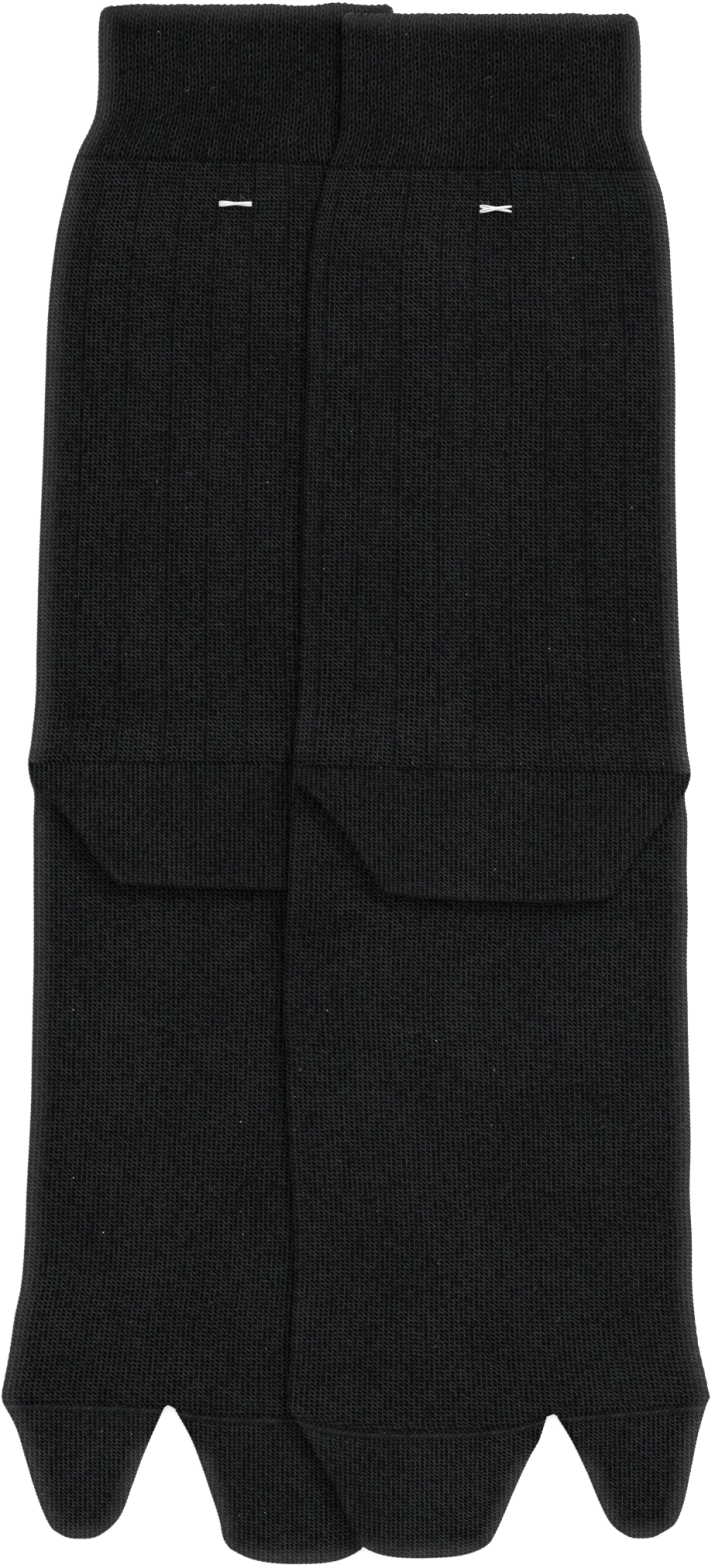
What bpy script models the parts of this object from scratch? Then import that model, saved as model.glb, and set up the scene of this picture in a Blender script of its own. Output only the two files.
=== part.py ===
"""A pair of split-toe (tabi) socks, laid flat, soles up, one partly over the other.

Tables are in millimetres. X runs across the pair, +Y towards the cuffs, +Z up, and the
surface the pair lies on is Z = 0. Each sock is a flat knitted tube in six pieces: cuff,
leg, heel pocket, foot, big-toe pocket and four-toe pocket. The upper sock lies over the
edge of the lower one and comes down off it in a soft slope.
"""

import math

import bmesh
import bpy

MM = 0.001
WALL = 1.0  # one layer of knit
GAP = 0.3  # inside a flat tube, between layers, and between pieces at a seam
FLAT = 2 * WALL + GAP  # a tube pressed flat
LAYER = FLAT + GAP  # how much one flat tube raises what lies on it
FLAP = LAYER + 0.3  # how high a folded-down heel pocket lies over its foot's underside
RAMP = 15.0  # how far the upper sock takes to come down off an edge
UNDER_CUFF_LINE = 148.7  # where the lower sock's cuff meets its leg
OVER_CUFF_LINE = 146.9  # the same on the upper sock
EDGE_STEPS = (0.0, 45.0, 90.0)  # degrees round half of a folded edge

# Each tube's outline: distance along, its left and right fold, and how much lower the
# right end of that line is than the left.
#   y, left, right, tilt
UNDER_CUFF = (
    (185.7, -60.0, 8.4, 0.0),
    (184.2, -61.2, 8.8, 0.0),
    (167.1, -61.7, 8.8, 0.5),
    (159.7, -62.4, 8.6, 1.0),
    (153.5, -65.2, 9.3, 1.5),
    (UNDER_CUFF_LINE + GAP / 2, -66.9, 10.6, 2.0),
)
UNDER_LEG = (
    (UNDER_CUFF_LINE - GAP / 2, -67.0, 10.7, 2.0),
    (141.2, -69.3, 12.1, 1.0),
    (131.9, -71.5, 13.0, 0.0),
    (120.8, -73.0, 13.6, 0.0),
    (98.6, -74.3, 13.8, 0.0),
    (54.2, -75.9, 13.6, 0.0),
    (20.9, -76.7, 14.9, 0.0),
    (14.0, -77.3, 15.3, 0.0),
    (9.8, -77.8, 15.6, 0.0),
    (5.1, -78.4, 16.4, 0.0),
)
UNDER_FOOT = (
    (4.8, -78.4, 16.4, 0.0),
    (0.0, -77.4, 15.6, 0.0),
    (-8.7, -77.2, 16.2, 0.0),
    (-42.0, -77.2, 16.6, 0.0),
    (-75.3, -77.8, 16.0, 0.0),
    (-108.6, -79.3, 15.3, 0.0),
    (-119.7, -80.2, 14.9, 0.0),
    (-127.1, -81.7, 14.9, 0.0),
    (-134.5, -82.8, 15.1, 0.0),
    (-142.5, -84.7, 15.9, 0.0),
    (-145.8, -84.8, 16.1, 0.0),
)
OVER_CUFF = (
    (183.3, -2.7, 66.5, 0.0),
    (181.9, -3.6, 67.2, 0.0),
    (156.0, -3.8, 68.2, 0.2),
    (151.9, -4.9, 69.5, 0.3),
    (OVER_CUFF_LINE + GAP / 2, -6.8, 71.2, 0.4),
)
OVER_LEG = (
    (OVER_CUFF_LINE - GAP / 2, -6.9, 71.4, 0.4),
    (141.2, -8.2, 73.0, 0.4),
    (131.9, -10.3, 74.5, 0.4),
    (120.8, -11.4, 75.2, 0.4),
    (98.6, -11.9, 76.1, 0.6),
    (54.2, -12.9, 76.5, 1.0),
    (26.0, -13.7, 77.6, 1.4),
    (14.5, -14.3, 78.5, 1.6),
    (8.5, -14.8, 79.1, 1.8),
    (3.5, -15.2, 79.8, 1.8),
)
OVER_FOOT = (
    (3.2, -15.3, 79.8, 1.8),
    (-2.0, -15.4, 78.4, 1.0),
    (-8.7, -15.6, 79.1, 0.0),
    (-14.5, -15.9, 79.0, 0.0),
    (-20.0, -16.2, 78.9, 0.0),
    (-26.0, -16.4, 79.0, 0.0),
    (-34.0, -16.8, 79.0, 0.0),
    (-42.0, -17.2, 79.0, 0.0),
    (-53.1, -17.5, 79.1, 0.0),
    (-75.3, -16.6, 79.6, 0.0),
    (-97.5, -15.3, 79.6, 0.0),
    (-119.7, -14.9, 80.2, 0.0),
    (-134.5, -15.8, 81.9, 0.0),
    (-142.5, -16.5, 83.9, 0.0),
    (-145.8, -16.6, 84.8, 0.0),
)

# Each pocket: the ends of a line across it, and how far that line's middle hangs down.
#   left x, left y, right x, right y, sag
UNDER_HEEL = (
    (-78.3, 4.8, 16.3, 4.8, 0.0),
    (-77.1, 0.0, 15.3, -0.4, 0.0),
    (-70.4, -6.5, 8.4, -6.8, 0.0),
    (-66.7, -11.5, 4.7, -11.8, 0.0),
    (-63.0, -17.0, 1.0, -17.6, 0.0),
    (-60.2, -20.5, -1.8, -21.6, 0.0),
    (-58.0, -22.8, -4.3, -24.2, 0.2),
    (-56.5, -23.9, -6.0, -25.3, 0.4),
)
OVER_HEEL = (
    (-15.2, 4.1, 79.7, 2.3, 0.0),
    (-15.1, 0.9, 78.5, -1.7, 0.0),
    (-10.8, -2.6, 75.4, -5.9, 0.0),
    (-3.8, -10.5, 71.7, -10.5, 0.0),
    (-0.1, -16.1, 67.6, -16.1, 0.0),
    (3.6, -22.0, 63.5, -22.0, 0.4),
    (6.0, -25.2, 61.0, -26.5, 0.9),
    (7.3, -26.1, 59.7, -27.6, 1.3),
)
UNDER_BIG_TOE = (
    (-84.5, -147.8, -46.0, -148.9, -0.4),
    (-81.5, -153.4, -48.0, -153.4, 0.0),
    (-79.3, -160.4, -51.0, -160.4, 0.0),
    (-77.1, -167.8, -53.7, -167.8, 0.2),
    (-74.6, -174.5, -56.3, -174.5, 0.6),
    (-72.6, -178.0, -59.1, -177.8, 0.9),
    (-70.8, -179.1, -61.0, -179.1, 1.1),
)
UNDER_TOES = (
    (-43.4, -149.3, 15.6, -148.9, 1.9),
    (-39.7, -156.0, 12.5, -154.8, 1.5),
    (-37.5, -161.5, 9.3, -160.4, 1.1),
    (-35.2, -168.2, 6.0, -167.8, 1.1),
    (-32.8, -175.6, 3.6, -175.2, 1.5),
    (-31.9, -180.0, 2.5, -180.0, 1.9),
    (-30.2, -182.6, 1.0, -182.8, 2.2),
    (-28.2, -183.7, -0.8, -183.9, 2.4),
)
OVER_TOES = (
    (-15.1, -151.0, 45.4, -151.1, 3.5),
    (-12.1, -156.0, 43.6, -156.7, 2.6),
    (-9.9, -159.7, 41.5, -160.4, 2.0),
    (-5.6, -167.4, 38.2, -167.4, 1.7),
    (-2.1, -175.8, 34.7, -175.6, 1.7),
    (-0.1, -179.8, 32.8, -179.6, 1.9),
    (1.4, -181.9, 31.7, -181.3, 2.0),
    (2.9, -182.8, 30.2, -182.4, 2.2),
)
OVER_BIG_TOE = (
    (47.8, -151.0, 83.7, -147.8, 0.0),
    (51.3, -156.7, 81.7, -154.8, 0.0),
    (54.9, -164.1, 79.8, -164.1, 0.0),
    (58.0, -171.5, 78.2, -171.5, 0.2),
    (60.4, -176.1, 76.3, -176.3, 0.6),
    (62.4, -178.2, 74.3, -178.0, 0.9),
    (63.9, -179.1, 72.6, -178.9, 1.1),
)

# Shares of the width at which a tube has a line of points between its folds.
PLAIN = (0.25, 0.5, 0.75)
PLAIN_TOES = (0.1, 0.25, 0.5, 0.75, 0.9)
PLAIN_FOOT = (0.1, 0.2, 0.3, 0.382, 0.412, 0.47, 0.55, 0.7, 0.83, 0.94)
STEPPED = (0.08, 0.17, 0.25, 0.3, 0.35, 0.4, 0.45, 0.5, 0.56, 0.612, 0.64, 0.75, 0.87)
NARROW = (0.3, 0.7)
STEPPED_TOES = (0.08, 0.16, 0.26, 0.36, 0.46, 0.58, 0.7, 0.8, 0.9)


def between(table, at, column):
    """The column of a table, interpolated at a value of its first column, which falls."""
    if at >= table[0][0]:
        return table[0][column]
    for above, below in zip(table, table[1:]):
        if at >= below[0]:
            share = (above[0] - at) / (above[0] - below[0])
            return above[column] + (below[column] - above[column]) * share
    return table[-1][column]


def ease(share):
    """0 up to 0, 1 from 1, and a soft S between."""
    share = min(max(share, 0.0), 1.0)
    return share * share * (3 - 2 * share)


def right_fold(*tables):
    """(y, x) down a sock's right fold, from its pieces' rows."""
    return tuple((row[3], row[2]) for table in tables for row in table)


def ground(x, y):
    """Height of the lower sock's underside."""
    return 0.0


def over_under_sock(x, y):
    """Height of the upper sock's underside: up on the lower sock, then down to the surface."""
    clear = GAP + WALL
    body = 1 - ease((x - between(UNDER_EDGE, y, 1) - clear) / RAMP)
    mouth, tip = UNDER_FLAP_EDGE[0][0], UNDER_FLAP_EDGE[-1][0]
    flap = 1 - ease((x - between(UNDER_FLAP_EDGE, y, 1) - clear) / RAMP)
    flap *= 1 - ease((y - mouth - clear) / RAMP)
    flap *= 1 - ease((tip - 2 * clear - y) / RAMP)
    return LAYER * body + FLAP * flap


def line_across(row, share):
    """A point of a pocket's row at a share of its width."""
    left_x, left_y, right_x, right_y, sag = row
    hang = sag * (1 - abs(2 * share - 1) ** 3)
    return left_x + (right_x - left_x) * share, left_y + (right_y - left_y) * share - hang


def as_rows(table):
    """A tube's outline as pocket rows."""
    return [
        (left, y + tilt / 2, right, y - tilt / 2, 0.0) for y, left, right, tilt in table
    ]


UNDER_EDGE = right_fold(
    as_rows(UNDER_CUFF), as_rows(UNDER_LEG), as_rows(UNDER_FOOT), UNDER_TOES
)
UNDER_FLAP_EDGE = right_fold(UNDER_HEEL)


def toe_line(pockets, x):
    """Where a foot ends, across: along the mouths of its toe pockets."""
    for row in pockets:
        if row[0] <= x <= row[2]:
            return line_across(row, (x - row[0]) / (row[2] - row[0]))[1]
    left, right = sorted(pockets)
    if x < left[0]:
        return left[1]
    if x > right[2]:
        return right[3]
    share = (x - left[2]) / (right[0] - left[2])
    return left[3] + (right[1] - left[3]) * share


def section(row, columns, half, wall, squash=1.0, end_y=None):
    """One ring of points round a flat tube, as (x, y, height above the middle)."""
    left, right = row[0], row[2]
    width = right - left
    radius = half
    edge = [
        (radius - (radius - wall) * math.cos(math.radians(a)), math.sin(math.radians(a)))
        for a in EDGE_STEPS
    ]
    across = [(left + depth, lift) for depth, lift in edge]
    across += [(left + width * share, 1.0) for share in columns]
    across += [(right - depth, lift) for depth, lift in reversed(edge)]
    points = []
    for x, lift in across:
        y = line_across(row, (x - left) / width)[1]
        if end_y is not None:
            y = end_y(x)
        points.append((x, y, lift * (half - wall) * squash))
    upper = points
    lower = [(x, y, -h) for x, y, h in reversed(points[1:-1])]
    return upper + lower


def blend(first, second, share):
    return tuple(a + (b - a) * share for a, b in zip(first, second))


def flat_tube(name, rows, columns, base, halves=None, closed_tip=False, end_y=None):
    """A tube pressed flat, lofted through its rows, with its own inside. The last two
    rows of a closed tip are one half thickness apart."""
    halves = halves or [FLAT / 2] * len(rows)
    shells = []
    for wall in (0.0, WALL):
        rings = []
        body = rows[:-1] if closed_tip else rows
        for index, (row, half) in enumerate(zip(body, halves)):
            last = index == len(rows) - 1
            ring = section(row, columns, half, wall, 1.0, end_y if last else None)
            rings.append((ring, half))
        if closed_tip:
            half = halves[-1]
            for angle in reversed(EDGE_STEPS[:-1]):
                reach = math.cos(math.radians(angle)) * (half - wall) / half
                row = blend(rows[-2], rows[-1], reach)
                squash = math.sin(math.radians(angle))
                rings.append((section(row, columns, half, wall, squash), half))
        shells.append(rings)

    mesh = bmesh.new()
    made = []
    for rings in shells:
        made.append(
            [
                [
                    mesh.verts.new((x * MM, y * MM, (base(x, y) + half + h) * MM))
                    for x, y, h in ring
                ]
                for ring, half in rings
            ]
        )

    def join(first, second, flip):
        count = len(first)
        for i in range(count):
            j = (i + 1) % count
            corners = [first[i], first[j], second[j], second[i]]
            mesh.faces.new(corners[::-1] if flip else corners)

    outer, inner = made
    for first, second in zip(outer, outer[1:]):
        join(first, second, True)
    for first, second in zip(inner, inner[1:]):
        join(first, second, False)
    join(outer[0], inner[0], False)
    if not closed_tip:
        join(outer[-1], inner[-1], True)
    # At a closed tip the upper and lower points are the same, so they close it when welded.
    bmesh.ops.remove_doubles(mesh, verts=mesh.verts[:], dist=1e-7)
    bmesh.ops.recalc_face_normals(mesh, faces=mesh.faces[:])
    bmesh.ops.triangulate(mesh, faces=mesh.faces[:], quad_method="SHORT_EDGE")
    data = bpy.data.meshes.new(name)
    mesh.to_mesh(data)
    mesh.free()
    made_object = bpy.data.objects.new(name, data)
    bpy.context.scene.collection.objects.link(made_object)
    return made_object


def opening_up(table):
    """Half thicknesses of a leg, which opens at the heel to meet foot and pocket."""
    heel = table[-1][0]
    return [(FLAT + FLAP * (1 - ease((row[0] - heel) / 11.0))) / 2 for row in table]


def sock(name, cuff, leg, heel, foot, big_toe, toes, base, columns, foot_columns, toe_columns):
    def on_foot(x, y):
        return base(x, y) + FLAP

    mouths = (toes[0], big_toe[0])

    def foot_end(x):
        return toe_line(mouths, x) + GAP

    foot_rows = as_rows(foot) + [
        (min(m[0] for m in mouths), 0.0, max(m[2] for m in mouths), 0.0, 0.0)
    ]
    leg_rows = as_rows(leg)
    return [
        flat_tube(name + "_cuff", as_rows(cuff), columns, base),
        flat_tube(name + "_leg", leg_rows, columns, base, opening_up(leg)),
        flat_tube(name + "_heel", heel, columns, on_foot, closed_tip=True),
        flat_tube(name + "_foot", foot_rows, foot_columns, base, end_y=foot_end),
        flat_tube(name + "_big_toe", big_toe, NARROW, base, closed_tip=True),
        flat_tube(name + "_toes", toes, toe_columns, base, closed_tip=True),
    ]


for old in list(bpy.data.objects):
    bpy.data.objects.remove(old)

pieces = sock(
    "under", UNDER_CUFF, UNDER_LEG, UNDER_HEEL, UNDER_FOOT, UNDER_BIG_TOE, UNDER_TOES,
    ground, PLAIN, PLAIN_FOOT, PLAIN_TOES,
)
pieces += sock(
    "over", OVER_CUFF, OVER_LEG, OVER_HEEL, OVER_FOOT, OVER_BIG_TOE, OVER_TOES,
    over_under_sock, STEPPED, STEPPED, STEPPED_TOES,
)

# The origin is the middle of the base of the box round the pair.
corners = [v.co for piece in pieces for v in piece.data.vertices]
middle_x = (min(c.x for c in corners) + max(c.x for c in corners)) / 2
middle_y = (min(c.y for c in corners) + max(c.y for c in corners)) / 2
lowest = min(c.z for c in corners)
for piece in pieces:
    for vertex in piece.data.vertices:
        vertex.co.x -= middle_x
        vertex.co.y -= middle_y
        vertex.co.z -= lowest
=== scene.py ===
"""A pair of black split-toe socks, laid flat with the soles up.

Each sock is a flat knitted tube: cuff, ribbed leg, heel pocket folded down over the sole,
foot, big-toe pocket and four-toe pocket. Each of those is a thin knitted shell on the form
of its solid. A white thread tack near each cuff and some stray lint lie on top. Tables are
in millimetres in the frame's own axes: X across the pair, +Y towards the cuffs, +Z up off
the surface.
"""

import math
import random

import bmesh
import bpy
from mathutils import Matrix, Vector, noise
from mathutils.bvhtree import BVHTree


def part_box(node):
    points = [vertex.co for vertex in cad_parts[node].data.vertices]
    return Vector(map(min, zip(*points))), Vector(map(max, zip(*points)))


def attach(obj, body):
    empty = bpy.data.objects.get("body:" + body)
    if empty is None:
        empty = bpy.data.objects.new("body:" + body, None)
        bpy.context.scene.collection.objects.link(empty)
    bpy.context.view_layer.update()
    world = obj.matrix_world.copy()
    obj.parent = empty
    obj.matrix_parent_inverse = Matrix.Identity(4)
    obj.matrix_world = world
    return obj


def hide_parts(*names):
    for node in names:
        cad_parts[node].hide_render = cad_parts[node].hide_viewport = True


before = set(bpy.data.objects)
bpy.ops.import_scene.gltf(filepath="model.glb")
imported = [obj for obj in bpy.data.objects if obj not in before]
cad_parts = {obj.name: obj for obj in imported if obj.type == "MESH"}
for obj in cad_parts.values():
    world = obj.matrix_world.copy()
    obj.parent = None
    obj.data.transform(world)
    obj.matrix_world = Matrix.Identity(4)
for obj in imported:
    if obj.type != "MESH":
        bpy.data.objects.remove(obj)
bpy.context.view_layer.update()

MM = 0.001
WALL = 1.0  # one layer of knit in the solids
GAP = 0.3  # inside a flat tube, and between what lies on what
FLAT = 2 * WALL + GAP  # a tube pressed flat
LAYER = FLAT + GAP  # how much one flat tube raises what lies on it
FLAP = LAYER + 0.3  # how high a folded-down heel pocket lies over its foot's underside
RAMP = 15.0  # how far the upper sock takes to come down off an edge

# ---------------------------------------------------------------- outlines
# Rows down each sock: y, left fold, right fold, how much lower the right end lies.
UNDER_BODY = (
    (186.1, -58.6, 7.6, 0.0),
    (185.6, -60.0, 8.4, 0.0),
    (184.2, -61.2, 8.8, 0.0),
    (178.2, -61.7, 8.8, 0.2),
    (167.1, -61.7, 8.8, 0.5),
    (159.7, -62.4, 8.6, 1.0),
    (155.5, -63.9, 8.8, 1.3),
    (152.3, -65.5, 9.5, 1.6),
    (148.7, -67.0, 10.6, 2.0),
    (145.0, -68.3, 11.5, 1.6),
    (141.2, -69.3, 12.1, 1.0),
    (131.9, -71.5, 13.0, 0.0),
    (120.8, -73.0, 13.6, 0.0),
    (109.7, -73.9, 13.8, 0.0),
    (98.6, -74.3, 13.8, 0.0),
    (76.4, -75.0, 13.6, 0.0),
    (54.2, -75.9, 13.6, 0.0),
    (32.0, -76.5, 14.2, 0.0),
    (20.9, -76.7, 14.9, 0.0),
    (9.8, -77.8, 15.6, 0.0),
    (5.0, -78.5, 16.4, 0.0),
    (0.9, -78.0, 15.8, 0.0),
    (-2.0, -77.1, 15.6, 0.0),
    (-8.7, -77.2, 16.2, 0.0),
    (-19.8, -77.2, 16.4, 0.0),
    (-42.0, -77.2, 16.6, 0.0),
    (-53.1, -77.4, 16.6, 0.0),
    (-64.2, -77.6, 16.2, 0.0),
    (-75.3, -77.8, 16.0, 0.0),
    (-86.4, -78.3, 15.6, 0.0),
    (-97.5, -78.9, 15.4, 0.0),
    (-108.6, -79.3, 15.3, 0.0),
    (-119.7, -80.2, 14.9, 0.0),
    (-127.1, -81.7, 14.9, 0.0),
    (-134.5, -82.8, 15.1, 0.0),
    (-138.2, -83.5, 15.4, 0.0),
    (-141.9, -84.3, 15.8, 0.0),
    (-144.5, -84.8, 16.1, 0.0),
    (-146.5, -84.7, 16.2, 0.0),
)
OVER_BODY = (
    (183.9, -1.2, 65.4, 0.0),
    (183.3, -2.7, 66.5, 0.0),
    (181.9, -3.6, 67.2, 0.0),
    (176.3, -3.6, 67.8, 0.0),
    (165.0, -3.7, 68.0, 0.1),
    (156.0, -3.9, 68.2, 0.2),
    (151.9, -4.9, 69.5, 0.3),
    (147.4, -6.6, 70.9, 0.4),
    (141.2, -8.2, 73.0, 0.4),
    (131.9, -10.3, 74.5, 0.4),
    (120.8, -11.4, 75.2, 0.4),
    (98.6, -11.9, 76.1, 0.6),
    (76.4, -12.5, 76.1, 0.8),
    (54.2, -12.9, 76.5, 1.0),
    (32.0, -13.4, 77.2, 1.3),
    (20.9, -13.8, 78.0, 1.5),
    (9.8, -14.7, 78.9, 1.8),
    (3.3, -15.3, 79.8, 1.8),
    (0.3, -15.4, 79.2, 1.5),
    (-2.0, -15.4, 78.4, 1.0),
    (-8.7, -15.6, 79.0, 0.0),
    (-19.8, -16.2, 78.9, 0.0),
    (-30.9, -16.6, 79.1, 0.0),
    (-42.0, -17.2, 78.9, 0.0),
    (-53.1, -17.5, 79.1, 0.0),
    (-64.2, -16.9, 79.3, 0.0),
    (-75.3, -16.6, 79.6, 0.0),
    (-86.4, -16.0, 79.8, 0.0),
    (-97.5, -15.3, 79.6, 0.0),
    (-108.6, -14.8, 80.1, 0.0),
    (-119.7, -14.9, 80.2, 0.0),
    (-127.1, -15.4, 80.8, 0.0),
    (-134.5, -15.8, 81.9, 0.0),
    (-140.0, -16.3, 83.3, 0.0),
    (-143.7, -16.6, 84.1, 0.0),
    (-146.3, -16.7, 84.8, 0.0),
)
UNDER_SEAMS = {"top": 186.1, "cuff": 148.7, "heel": 5.0}
OVER_SEAMS = {"top": 183.9, "cuff": 146.9, "heel": 3.3}

# Rows down each pocket: left x, left y, right x, right y, how far the middle hangs.
UNDER_HEEL = (
    (-78.4, 5.0, 16.4, 5.0, 0.0),
    (-77.1, 0.0, 15.3, -0.4, 0.0),
    (-70.4, -6.5, 8.4, -6.8, 0.0),
    (-66.7, -11.5, 4.7, -11.8, 0.0),
    (-63.0, -17.0, 1.0, -17.6, 0.0),
    (-60.2, -20.5, -1.8, -21.6, 0.0),
    (-58.0, -22.8, -4.3, -24.2, 0.2),
    (-56.5, -23.9, -6.0, -25.3, 0.4),
)
OVER_HEEL = (
    (-15.3, 4.2, 79.8, 2.4, 0.0),
    (-15.1, 0.9, 78.5, -1.7, 0.0),
    (-10.8, -2.6, 75.4, -5.9, 0.0),
    (-3.8, -10.5, 71.7, -10.5, 0.0),
    (-0.1, -16.1, 67.6, -16.1, 0.0),
    (3.6, -22.0, 63.5, -22.0, 0.4),
    (6.0, -25.2, 61.0, -26.5, 0.9),
    (7.3, -26.1, 59.7, -27.6, 1.3),
)
UNDER_BIG_TOE = (
    (-84.5, -147.8, -46.0, -148.9, -0.4),
    (-81.5, -153.4, -48.0, -153.4, 0.0),
    (-79.3, -160.4, -51.0, -160.4, 0.0),
    (-77.1, -167.8, -53.7, -167.8, 0.2),
    (-74.6, -174.5, -56.3, -174.5, 0.6),
    (-72.6, -178.0, -59.1, -177.8, 0.9),
    (-70.8, -179.1, -61.0, -179.1, 1.1),
)
UNDER_TOES = (
    (-43.4, -149.3, 15.6, -148.9, 1.9),
    (-39.7, -156.0, 12.5, -154.8, 1.5),
    (-37.5, -161.5, 9.3, -160.4, 1.1),
    (-35.2, -168.2, 6.0, -167.8, 1.1),
    (-32.8, -175.6, 3.6, -175.2, 1.5),
    (-31.9, -180.0, 2.5, -180.0, 1.9),
    (-30.2, -182.6, 1.0, -182.8, 2.2),
    (-28.2, -183.7, -0.8, -183.9, 2.4),
)
OVER_TOES = (
    (-15.1, -151.0, 45.4, -151.1, 3.5),
    (-12.1, -156.0, 43.6, -156.7, 2.6),
    (-9.9, -159.7, 41.5, -160.4, 2.0),
    (-5.6, -167.4, 38.2, -167.4, 1.7),
    (-2.1, -175.8, 34.7, -175.6, 1.7),
    (-0.1, -179.8, 32.8, -179.6, 1.9),
    (1.4, -181.9, 31.7, -181.3, 2.0),
    (2.9, -182.8, 30.2, -182.4, 2.2),
)
OVER_BIG_TOE = (
    (47.8, -151.0, 83.7, -147.8, 0.0),
    (51.3, -156.7, 81.7, -154.8, 0.0),
    (54.9, -164.1, 79.8, -164.1, 0.0),
    (58.0, -171.5, 78.2, -171.5, 0.2),
    (60.4, -176.1, 76.3, -176.3, 0.6),
    (62.4, -178.2, 74.3, -178.0, 0.9),
    (63.9, -179.1, 72.6, -178.9, 1.1),
)

# Knit gauges in millimetres: width of a wale and height of a course.
GAUGE = {
    "cuff": (0.865, 1.35),
    "leg": (1.113, 1.0),
    "heel": (1.15, 0.83),
    "sole": (1.21, 0.975),
    "toe": (1.15, 0.87),
}
# The outlines are written before the pair is centred, and SHIFT moves them to the solids.
FOOT_LEFT, CUFF_TOP = -84.8, 185.7  # the lower foot's left and its cuff's top, as written
SHIFT = Vector(
    (
        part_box("under_foot")[0].x / MM - FOOT_LEFT,
        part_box("under_cuff")[1].y / MM - CUFF_TOP,
        0.0,
    )
)


def ease(share):
    share = min(max(share, 0.0), 1.0)
    return share * share * (3 - 2 * share)


class Course:
    """A smooth curve through a table's rows, read by its first column."""

    def __init__(self, rows):
        self.rows = sorted(rows)
        self.at = [r[0] for r in self.rows]
        self.values = [r[1:] for r in self.rows]
        count = len(rows)
        self.slopes = []
        for i in range(count):
            a, b = max(i - 1, 0), min(i + 1, count - 1)
            step = self.at[b] - self.at[a]
            self.slopes.append(
                [(p - q) / step for p, q in zip(self.values[b], self.values[a])]
            )

    def read(self, at):
        if at <= self.at[0]:
            return list(self.values[0])
        if at >= self.at[-1]:
            return list(self.values[-1])
        i = 0
        while self.at[i + 1] < at:
            i += 1
        step = self.at[i + 1] - self.at[i]
        t = (at - self.at[i]) / step
        h = (2 * t**3 - 3 * t**2 + 1, t**3 - 2 * t**2 + t, 3 * t**2 - 2 * t**3, t**3 - t**2)
        return [
            h[0] * p + h[1] * step * m + h[2] * q + h[3] * step * n
            for p, m, q, n in zip(
                self.values[i], self.slopes[i], self.values[i + 1], self.slopes[i + 1]
            )
        ]


def straight(pairs, at):
    """The second of each pair, read in straight lines by the first, which rises."""
    if at <= pairs[0][0]:
        return pairs[0][1]
    for low, high in zip(pairs, pairs[1:]):
        if at <= high[0]:
            share = (at - low[0]) / (high[0] - low[0])
            return low[1] + (high[1] - low[1]) * share
    return pairs[-1][1]


# The lower sock's right edge and its heel pocket's, as (y, x), which the upper sock crosses.
UNDER_EDGE = sorted(
    [(y - tilt / 2, right) for y, _, right, tilt in UNDER_BODY]
    + [(row[3], row[2]) for row in UNDER_TOES]
)
UNDER_FLAP_EDGE = sorted((row[3], row[2]) for row in UNDER_HEEL)


def on_surface(x, y):
    return 0.0


def on_lower_sock(x, y):
    """Underside of the upper sock: up on the lower sock, then down to the surface."""
    clear = GAP + WALL
    body = 1 - ease((x - straight(UNDER_EDGE, y) - clear) / RAMP)
    mouth, tip = UNDER_FLAP_EDGE[-1][0], UNDER_FLAP_EDGE[0][0]
    flap = 1 - ease((x - straight(UNDER_FLAP_EDGE, y) - clear) / RAMP)
    flap *= 1 - ease((y - mouth - clear) / RAMP)
    flap *= 1 - ease((tip - 2 * clear - y) / RAMP)
    return LAYER * body + FLAP * flap


def line_across(row, share):
    """A point of a row at a share of its width."""
    left_x, left_y, right_x, right_y, sag = row
    hang = sag * (1 - abs(2 * share - 1) ** 3)
    return left_x + (right_x - left_x) * share, left_y + (right_y - left_y) * share - hang


NOTCH_ARCH = 0.9  # how far a foot's end rises between its toe pockets


def toe_line(mouths, x):
    """Where a foot ends, across: along the mouths of its toe pockets."""
    for row in mouths:
        if row[0] <= x <= row[2]:
            return line_across(row, (x - row[0]) / (row[2] - row[0]))[1]
    left, right = sorted(mouths)
    if x < left[0]:
        return left[1]
    if x > right[2]:
        return right[3]
    share = (x - left[2]) / (right[0] - left[2])
    arch = NOTCH_ARCH * math.sin(math.pi * share)
    return left[3] + (right[1] - left[3]) * share + arch


# ---------------------------------------------------------------- knitted shells
FOLD_STEPS = 5
TIP_STEPS = 6
UNDER_SPACING = 2.4  # between points across the side that lies down
SHEEN_REACH = 5.5  # how far in from a fold the painted sheen reaches
NOTCH_FADE = 9.0  # how far down an inner edge its painted sheen takes to show
PLAIN_WALES = 80  # across one side of a leg or foot
FOLD_BUMP = 0.05  # how far stitches stand out along a fold
SCALLOP_ROWS, SWAY_ROWS = 4, 14  # how far in from an open end its edge shape reaches
SEAM_FAR = 9.0  # the distance given where a piece has no seam
SEAM_REACH, SEAM_DEPTH = 1.6, 0.09  # the shallow trough along a seam
HUMP_AT, HUMP_REACH = 1.1, 0.8  # the ridge of linking stitches beside a toe seam


def across_stops(width, half, spacing):
    """(distance from the left fold, lift) for points across one side of a flat tube."""
    turn = [math.pi / 2 * k / FOLD_STEPS for k in range(FOLD_STEPS)]
    stops = [(half * (1 - math.cos(a)), math.sin(a)) for a in turn]
    inside = width - 2 * half
    count = max(4, round(inside / spacing))
    middle = [(half + inside * k / count, 1.0) for k in range(count + 1)]
    return stops + middle + [(width - d, lift) for d, lift in reversed(stops)]


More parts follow.
